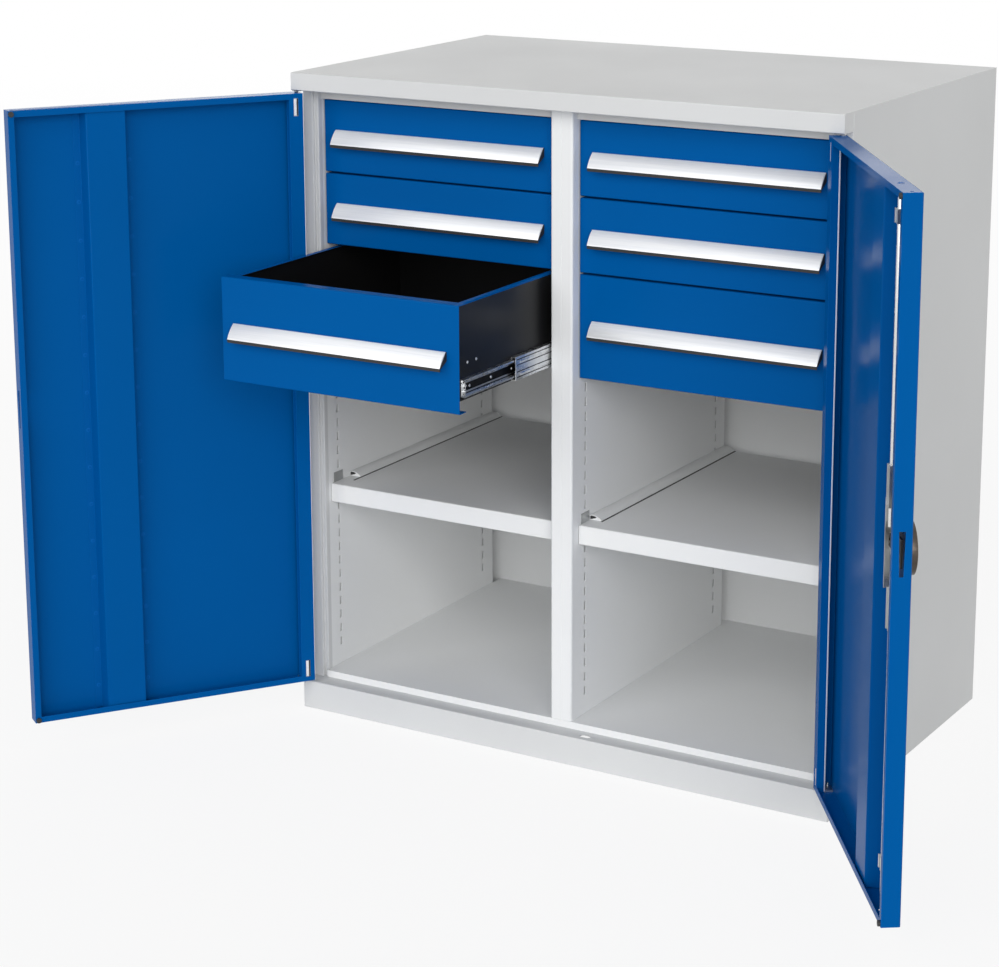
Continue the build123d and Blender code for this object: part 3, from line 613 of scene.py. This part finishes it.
# Doors, in millimetres on the closed right one: bead along the folded lip, bright on the right door
# as a painted highlight, spot welds of the stiffener, hinge bolts in their windows and dark strips
# beside them as painted shade of the slots
# The right door's bead is a painted highlight in a bright finish; the left door's bead has the door's
# blue paint
LIP_FINISH_AND_HIGHLIGHT = {"right_door": "handle_aluminium", "left_door": "blue_paint"}
LIP_FOLD_X = 475.0
LIP_END_Y = 17.0
LIP_BEAD = ((-0.3, 0.3), (-0.3, -1.4), (0.2, -2.0), (1.0, -2.0), (1.5, -1.4), (1.5, 0.3))
DOOR_LOW = 57.0
DOOR_HIGH = 1084.0
STIFF_X = 162.0
STIFF_WELD_X = 43.5
STIFF_WELDS_Z = range(96, 1050, 64)
STIFF_WELD_Y = 3.4
STIFF_WELD_R = 3.2 * MM
STIFF_WELD_H = 0.35 * MM
WINDOWS_Z = ((62.0, 92.0), (1049.0, 1079.0))
BOLT = ((483.2, 27.6), (483.6, 28.7), (487.8, 28.7), (488.2, 27.6))
BOLT_INSET = 1
BOLT_EDGE = 0.3 * MM
BOLT_SLOT_SHADE = ((488.6, 27.6), (488.6, 28.0), (491.0, 28.0), (491.0, 27.6))
BOLT_SLOT_SHADE_INSET = 0.5


def lip_edge(door, turn):
    edge = Piece(f"{door}_lip_edge", LIP_FINISH_AND_HIGHLIGHT[door], door, turn)
    outline = [(LIP_FOLD_X + x, LIP_END_Y + y) for x, y in LIP_BEAD]
    edge.prism(drawn(outline), "z", DOOR_LOW * MM, DOOR_HIGH * MM)
    edge.done(TRIM_EDGE)


def stiffener_welds(door, turn):
    welds = Piece(f"{door}_spot_welds", "blue_paint", door, turn)
    for x in (STIFF_X - STIFF_WELD_X, STIFF_X + STIFF_WELD_X):
        for z in STIFF_WELDS_Z:
            place = front_based(x, STIFF_WELD_Y, z)
            welds.head(place, (0, 1, 0), STIFF_WELD_R, STIFF_WELD_H)
    welds.done()


def hinge_bolts(door, turn):
    bolts = Piece(f"{door}_hinge_bolts", "handle_aluminium", door, turn)
    # Dark strips beside the bolts: painted shade of the slots
    slot_shade = Piece(f"{door}_hinge_bolt_slot_shade", "buffer_rubber", door, turn)
    for low, high in WINDOWS_Z:
        for piece, outline, inset in (
            (bolts, BOLT, BOLT_INSET),
            (slot_shade, BOLT_SLOT_SHADE, BOLT_SLOT_SHADE_INSET),
        ):
            piece.prism(drawn(outline), "z", (low + inset) * MM, (high - inset) * MM)
    bolts.done(BOLT_EDGE)
    slot_shade.done()


for door, side in (("right_door", 1), ("left_door", -1)):
    lip_edge(door, door_turn(side))
    stiffener_welds(door, door_turn(side))
    hinge_bolts(door, door_turn(side))

# Case: washers between the door corners and the base or lid
WASHER = ((482, 2), (482, 15), (499, 15), (499, 2))
WASHER_T = 0.7
BASE_TOP = 50.0
LID_LOW = 1090.0
WASHERS = (("lower", "zinc", BASE_TOP), ("upper", "buffer_rubber", LID_LOW - WASHER_T))


def hinge_washers():
    for name, slot, low in WASHERS:
        washers = Piece(f"{name}_hinge_washers", slot, "case")
        for side in (-1, 1):
            outline = drawn([(side * x, y) for x, y in WASHER])
            washers.prism(outline, "z", low * MM, (low + WASHER_T) * MM)
        washers.done(TRIM_EDGE)


hinge_washers()

# Shelves: zinc plates of the clips, the hollow bead along each wall, and dark strips of painted
# shade in the gap beside the bead and in its hollow front end. Outlines are (way from the wall,
# height over the shelf) in millimetres.
WALL_X = 473.0
PART_X = 20.0
SHELF_TOP = 398.0
PLATE = ((0, 0), (0, 17.0), (1.0, 17.0), (1.0, 0))
PLATE_Y = (64.0, 92.0)
BEAD = ((0, 0), (0, 7.0), (3, 7.8), (8, 7.6), (13, 6.4), (18, 4.0), (22, 0))
BEAD_FRONT = {"left": 116.0, "right": 96.0}
BEAD_REAR = 596.0
BEAD_SMOOTH = 50
HOLLOW_SHADE = ((0.6, 0.4), (0.6, 6.2), (3, 6.8), (8, 6.4), (12, 5.2), (10, 3.2), (5, 1.6))
HOLLOW_SHADE_OUT = 0.3
HOLLOW_SHADE_IN = 1
GAP_SHADE = ((22.0, 0.0), (22.0, 0.3), (25.4, 0.3), (25.4, 0.0))


def shelf_trim(bay, walls):
    plates = Piece(f"{bay}_shelf_clip_plates", "zinc", "case")
    beads = Piece(f"{bay}_shelf_side_beads", "grey_inside", "case")
    shade_strips = Piece(f"{bay}_shelf_side_shade", "buffer_rubber", "case")
    front = BEAD_FRONT[bay]
    for wall, inward in walls:
        for piece, outline, start, end in (
            (plates, PLATE, *PLATE_Y),
            (beads, BEAD, front, BEAD_REAR),
            (shade_strips, GAP_SHADE, PLATE_Y[1], BEAD_REAR),
            (shade_strips, HOLLOW_SHADE, front - HOLLOW_SHADE_OUT, front + HOLLOW_SHADE_IN),
        ):
            placed = [((wall + inward * x) * MM, (SHELF_TOP + z) * MM) for x, z in outline]
            piece.prism(placed, "y", row_y(start), row_y(end))
    plates.done(TRIM_EDGE)
    beads.done(smooth=BEAD_SMOOTH)
    shade_strips.done()


shelf_trim("left", ((-WALL_X, 1), (-PART_X, -1)))
shelf_trim("right", ((PART_X, 1), (WALL_X, -1)))

# Walls: pale channel behind each column of slots, deep enough for the clips' hooks. Its outline
# is (depth behind the sheet, way from the column's middle) in millimetres.
SLOT_COLUMNS = (79.0, 561.0)
SHEET = 1.5
CHANNEL = (
    (0.0, -9.0),
    (2.9, -8.0),
    (2.9, 8.0),
    (0.0, 9.0),
    (0.0, 8.5),
    (2.4, 7.5),
    (2.4, -7.5),
    (0.0, -8.5),
)
CHANNEL_LOW = 94.0
CHANNEL_HIGH = 650.0


def slot_channels():
    channels = Piece("slot_channels", "grey_inside", "case")
    for wall, behind in ((-WALL_X, -1), (-PART_X, 1), (PART_X, -1), (WALL_X, 1)):
        for column in SLOT_COLUMNS:
            outline = [(wall + behind * (SHEET + x), column + y) for x, y in CHANNEL]
            channels.prism(drawn(outline), "z", CHANNEL_LOW * MM, CHANNEL_HIGH * MM)
    channels.done()


slot_channels()

# Back: spot welds of the panel inside its flanges
BACK_FACE = 628.5
SIDE_WELDS_X = (-478, 478)
SIDE_WELDS_Z = range(120, 1060, 94)
END_WELDS_Z = (58, 1092)
END_WELDS_X = range(-400, 401, 100)
BACK_WELD_R = 3.6 * MM
BACK_WELD_H = 0.4 * MM


def back_welds():
    welds = Piece("back_spot_welds", "grey_paint", "case")
    places = [(x, z) for x in SIDE_WELDS_X for z in SIDE_WELDS_Z]
    places += [(x, z) for z in END_WELDS_Z for x in END_WELDS_X]
    for x, z in places:
        welds.head(front_based(x, BACK_FACE, z), (0, 1, 0), BACK_WELD_R, BACK_WELD_H)
    welds.done()


back_welds()

# Right door: thin ring round the rotary handle. Its section is (radius, y) in millimetres.
LOCK_X = 66.0
LOCK_Z = 585.0
RING = ((36.0, 0.99), (36.0, 0.8), (41.9, 0.78), (42.5, 0.99))
RING_SIDES = 48


def handle_ring():
    ring = Piece("handle_ring", "buffer_rubber", "right_door", door_turn(1))
    rings = []
    for radius, y in RING:
        rings.append(
            [
                front_based(LOCK_X + radius * math.cos(a), y, LOCK_Z + radius * math.sin(a))
                for a in angles(RING_SIDES)
            ]
        )
    ring.hoop(rings)
    ring.done()


handle_ring()

# Camera near the photograph's, whose verticals are parallel by a large shift that the other views
# can't share. This one is tilted down instead, with a small shift.
CAMERA_AT = Vector((2.041, -3.874, 1.675))
CAMERA_AZ = math.radians(30.984)
CAMERA_DOWN = math.radians(12.96)
CAMERA_ROLL = math.radians(-0.253)
CAMERA_LENS = 94.6
CAMERA_SENSOR = 36
CAMERA_SHIFT_Y = -0.15
CAMERA_FAR = 100


def photo_camera():
    forward = Vector(
        (
            -math.sin(CAMERA_AZ) * math.cos(CAMERA_DOWN),
            math.cos(CAMERA_AZ) * math.cos(CAMERA_DOWN),
            -math.sin(CAMERA_DOWN),
        )
    )
    level_right = Vector((math.cos(CAMERA_AZ), math.sin(CAMERA_AZ), 0))
    level_up = level_right.cross(forward)
    right = level_right * math.cos(CAMERA_ROLL) + level_up * math.sin(CAMERA_ROLL)
    up = level_up * math.cos(CAMERA_ROLL) - level_right * math.sin(CAMERA_ROLL)
    data = bpy.data.cameras.new("camera")
    data.lens = CAMERA_LENS
    data.sensor_width = CAMERA_SENSOR
    data.shift_y = CAMERA_SHIFT_Y
    data.clip_end = CAMERA_FAR
    camera = bpy.data.objects.new("camera", data)
    scene.collection.objects.link(camera)
    turn = Matrix((right, up, -forward)).transposed().to_4x4()
    camera.matrix_world = Matrix.Translation(CAMERA_AT) @ turn
    scene.camera = camera


photo_camera()

# Floor, backdrop and lamps. The floor shows as FLOOR_WHITE within FLOOR_NEAR metres and as full
# white past FLOOR_FAR. A lamp is given by its name, the direction that it comes from, its spread in
# degrees and the share of white that it adds to a face turned to it.
FLOOR_SIZE = 120.0
FLOOR_NEAR = 1.6
FLOOR_FAR = 9.0
FLOOR_WHITE = 0.87
FLOOR_DARK = colour(240, 240, 240)
FLOOR_LIGHT = colour(246, 246, 246)
AMBIENT = 0.41
LAMPS = (
    ("key", (0.60, -0.76, 0.28), 36, 0.38),
    ("front", (-0.10, -0.94, 0.44), 50, 0.31),
    ("back", (-0.50, 0.85, 0.02), 50, 0.18),
)


def seen_directly(tree):
    """1 for camera, glossy and transmission rays, 0 for the light that falls on the object."""
    path = tree.nodes.new("ShaderNodeLightPath")
    total = path.outputs["Is Camera Ray"]
    for name in ("Is Glossy Ray", "Is Transmission Ray"):
        either = tree.nodes.new("ShaderNodeMath")
        either.operation = "MAXIMUM"
        tree.links.new(total, either.inputs[0])
        tree.links.new(path.outputs[name], either.inputs[1])
        total = either.outputs["Value"]
    return total


def pale_floor():
    """Matt floor that takes the object's shadow and is white to the eye, more so far away."""
    mesh = bpy.data.meshes.new("floor")
    shape = bmesh.new()
    bmesh.ops.create_grid(shape, x_segments=1, y_segments=1, size=FLOOR_SIZE / 2)
    shape.to_mesh(mesh)
    shape.free()
    floor = bpy.data.objects.new("floor", mesh)
    scene.collection.objects.link(floor)
    t = Tree("pale_floor")
    t.put("Base Color", t.mixed(t.noise(scale=3.0, detail=4.0), FLOOR_DARK, FLOOR_LIGHT))
    t.put("Roughness", 0.8)
    t.put("Specular IOR Level", 0.1)
    t.put("Normal", t.bump(t.noise(scale=60.0, detail=3.0), distance=1.0 * MM, strength=0.05))
    away = t.add("ShaderNodeVectorMath", operation="LENGTH")
    t.link(t.place, away.inputs[0])
    share = t.spread(away.outputs["Value"], FLOOR_WHITE, 1.0, FLOOR_NEAR, FLOOR_FAR)
    share = t.product(share, seen_directly(t.material.node_tree))
    white = t.add("ShaderNodeEmission")
    mix = t.add("ShaderNodeMixShader")
    t.link(share, mix.inputs[0])
    t.link(t.shader.outputs["BSDF"], mix.inputs[1])
    t.link(white.outputs["Emission"], mix.inputs[2])
    t.link(mix.outputs["Shader"], t.nodes["Material Output"].inputs["Surface"])
    mesh.materials.append(t.material)


def studio():
    """World that lights the object at the ambient level and is white to the eye."""
    world = bpy.data.worlds.new("studio")
    world.use_nodes = True
    scene.world = world
    tree = world.node_tree
    level = tree.nodes.new("ShaderNodeMapRange")
    level.inputs["To Min"].default_value = AMBIENT
    level.inputs["To Max"].default_value = 1.0
    tree.links.new(seen_directly(tree), level.inputs["Value"])
    background = tree.nodes["Background"]
    background.inputs["Color"].default_value = (1.0, 1.0, 1.0, 1.0)
    tree.links.new(level.outputs["Result"], background.inputs["Strength"])


def soft_lamp(name, towards, spread, level):
    data = bpy.data.lights.new(name, "SUN")
    data.angle = math.radians(spread)
    data.energy = level * math.pi
    obj = bpy.data.objects.new(name, data)
    obj.rotation_euler = Vector(towards).to_track_quat("Z", "Y").to_euler()
    scene.collection.objects.link(obj)


pale_floor()
studio()
for lamp in LAMPS:
    soft_lamp(*lamp)
